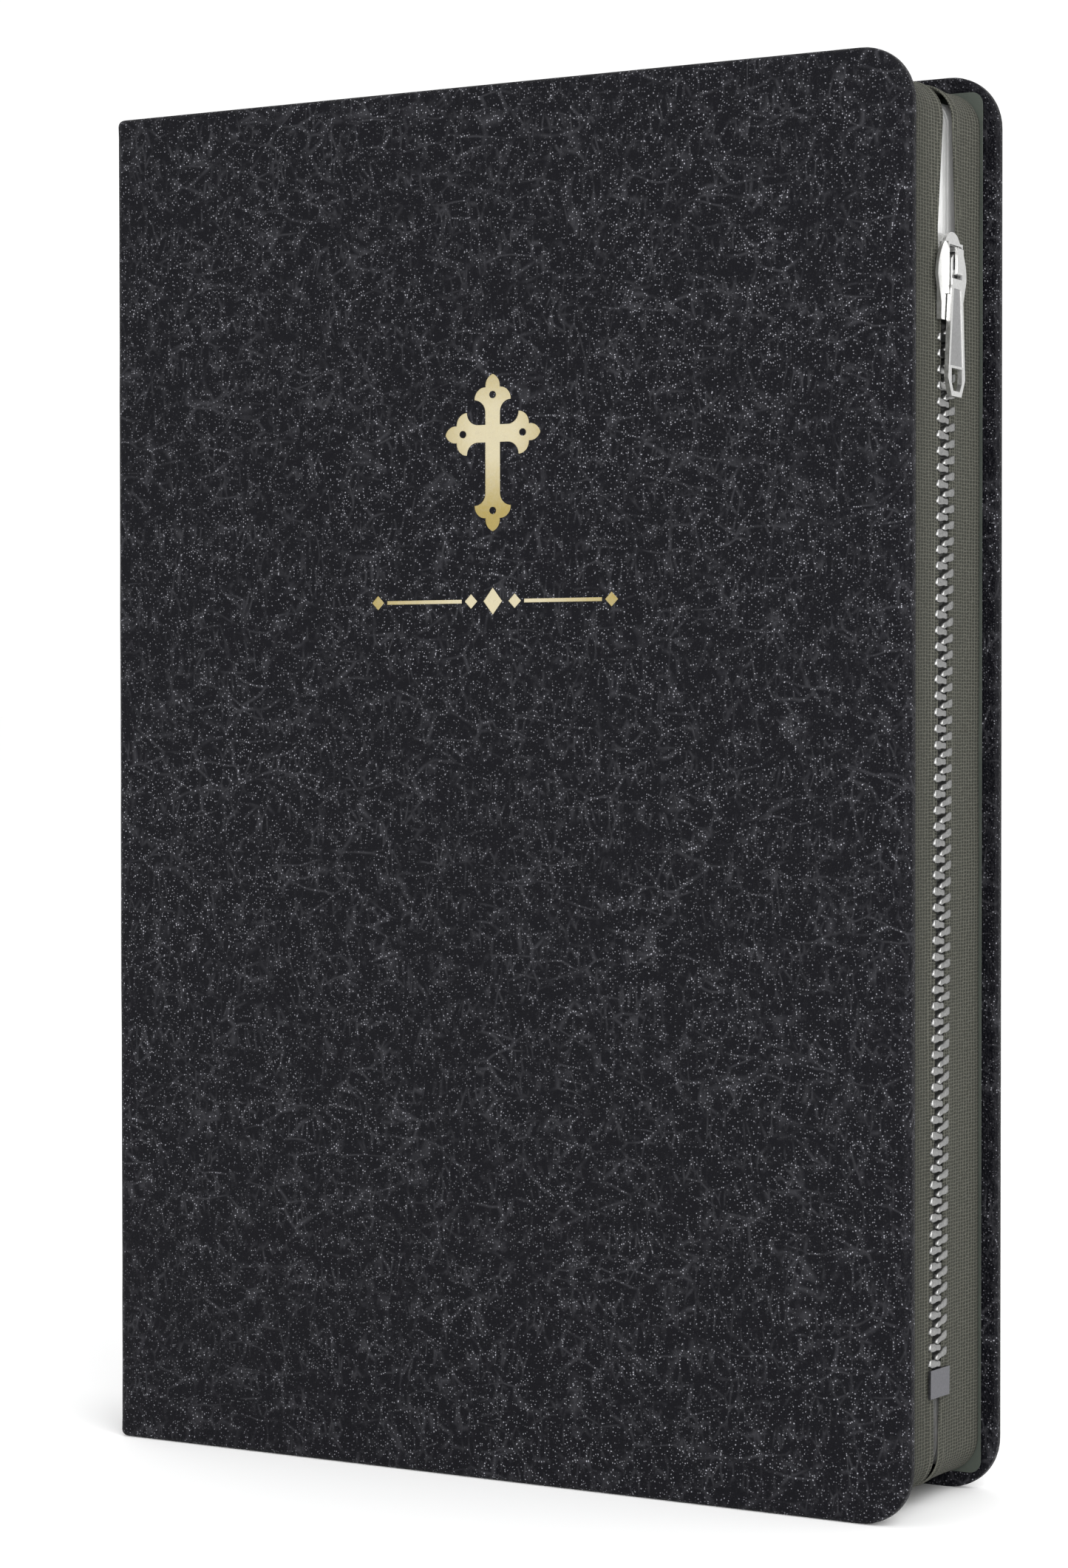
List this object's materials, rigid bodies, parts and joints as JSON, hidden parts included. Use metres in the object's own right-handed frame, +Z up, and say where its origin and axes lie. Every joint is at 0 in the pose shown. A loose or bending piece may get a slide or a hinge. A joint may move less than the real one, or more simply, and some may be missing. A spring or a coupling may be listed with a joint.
{
  "type": "zippered bible",
  "caption": "Bible in a soft black cover with a gold cross, closed along the fore-edge by a fabric gusset with a metal zip.",
  "frame": {"origin": "centre of the bounding box at the tail edge the book stands on", "axes": "+Z up from tail to head, +X from spine to fore-edge, the front cover faces -Y"},
  "size_m": [0.1474, 0.035, 0.2226],
  "materials": {
    "cover_leather": "pebbled imitation leather, semi-gloss",
    "lining_vinyl": "smooth matte",
    "cover_board": "plain grey board",
    "gusset_fabric": "woven tape, matte",
    "zip_metal": "satin",
    "slider_metal": "satin plated",
    "stop_steel": "dark satin",
    "spring_steel": "bright",
    "gold_foil": "hot-pressed foil, satin",
    "page_paper": "thin white paper",
    "flyleaf_paper": "stiff endpaper",
    "spine_paper": "kraft paper",
    "gauze": "open weave",
    "headband_cloth": "corded band"
  },
  "bodies": {
    "book_block": {"spine_leather": "cover_leather", "spine_stiffener": "cover_board", "spine_liner": "spine_paper", "spine_gauze": "gauze", "section_backs": "page_paper", "headband_head": "headband_cloth", "headband_tail": "headband_cloth", "page_section_4": "page_paper", "page_section_5": "page_paper"},
    "front_cover": {"front_cover_leather": "cover_leather", "front_cover_board": "cover_board", "front_lining": "lining_vinyl", "front_gusset": "gusset_fabric", "front_zip_teeth": "zip_metal", "cross_foil": "gold_foil", "rule_foil": "gold_foil"},
    "front_leaves_1": {"front_flyleaf": "flyleaf_paper", "page_section_1": "page_paper"},
    "front_leaves_2": {"page_section_2": "page_paper"},
    "front_leaves_3": {"page_section_3": "page_paper"},
    "back_leaves_3": {"page_section_6": "page_paper"},
    "back_leaves_2": {"page_section_7": "page_paper"},
    "back_leaves_1": {"back_flyleaf": "flyleaf_paper", "page_section_8": "page_paper"},
    "back_cover": {"back_cover_leather": "cover_leather", "back_cover_board": "cover_board", "back_lining": "lining_vinyl", "back_gusset": "gusset_fabric", "back_zip_teeth": "zip_metal", "zip_bottom_stop": "stop_steel"},
    "slider": {"slider_body": "slider_metal", "slider_crown": "slider_metal", "slider_lock_spring": "spring_steel"},
    "pull": {"pull_tab": "slider_metal"}
  },
  "joints": [
    {"name": "front_cover_hinge", "type": "hinge", "parent": "book_block", "child": "front_cover", "pos_m": [-0.07365, -0.0175, 0.1113], "axis": [0, 0, -1], "range_deg": [0, 180]},
    {"name": "front_leaves_1_turn", "type": "hinge", "parent": "book_block", "child": "front_leaves_1", "pos_m": [-0.06545, -0.01241, 0.1113], "axis": [0, 0, -1], "range_deg": [0, 90.5]},
    {"name": "front_leaves_2_turn", "type": "hinge", "parent": "book_block", "child": "front_leaves_2", "pos_m": [-0.06545, -0.00886, 0.1113], "axis": [0, 0, -1], "range_deg": [0, 68.9]},
    {"name": "front_leaves_3_turn", "type": "hinge", "parent": "book_block", "child": "front_leaves_3", "pos_m": [-0.06545, -0.00532, 0.1113], "axis": [0, 0, -1], "range_deg": [0, 47.3]},
    {"name": "back_cover_hinge", "type": "hinge", "parent": "book_block", "child": "back_cover", "pos_m": [-0.07365, 0.0175, 0.1113], "axis": [0, 0, 1], "range_deg": [0, 180]},
    {"name": "back_leaves_1_turn", "type": "hinge", "parent": "book_block", "child": "back_leaves_1", "pos_m": [-0.06545, 0.01241, 0.1113], "axis": [0, 0, 1], "range_deg": [0, 90.5]},
    {"name": "back_leaves_2_turn", "type": "hinge", "parent": "book_block", "child": "back_leaves_2", "pos_m": [-0.06545, 0.00886, 0.1113], "axis": [0, 0, 1], "range_deg": [0, 68.9]},
    {"name": "back_leaves_3_turn", "type": "hinge", "parent": "book_block", "child": "back_leaves_3", "pos_m": [-0.06545, 0.00532, 0.1113], "axis": [0, 0, 1], "range_deg": [0, 47.3]},
    {"name": "zip_slide", "type": "slide", "parent": "back_cover", "child": "slider", "axis": [0, -0.018, -0.9998], "range_m": [0, 0.1605], "deforming": ["front_zip_teeth", "back_zip_teeth"]},
    {"name": "pull_swing", "type": "hinge", "parent": "slider", "child": "pull", "pos_m": [0.0723, 0.00174, 0.1925], "axis": [0, -0.9998, 0.018], "range_deg": [0, 160]}
  ],
  "couplings": [
    {"joint": "front_leaves_1_turn", "follows": "front_cover_hinge", "ratio": 0.5},
    {"joint": "front_leaves_2_turn", "follows": "front_cover_hinge", "ratio": 0.38},
    {"joint": "front_leaves_3_turn", "follows": "front_cover_hinge", "ratio": 0.26},
    {"joint": "back_leaves_1_turn", "follows": "back_cover_hinge", "ratio": 0.5},
    {"joint": "back_leaves_2_turn", "follows": "back_cover_hinge", "ratio": 0.38},
    {"joint": "back_leaves_3_turn", "follows": "back_cover_hinge", "ratio": 0.26}
  ]
}
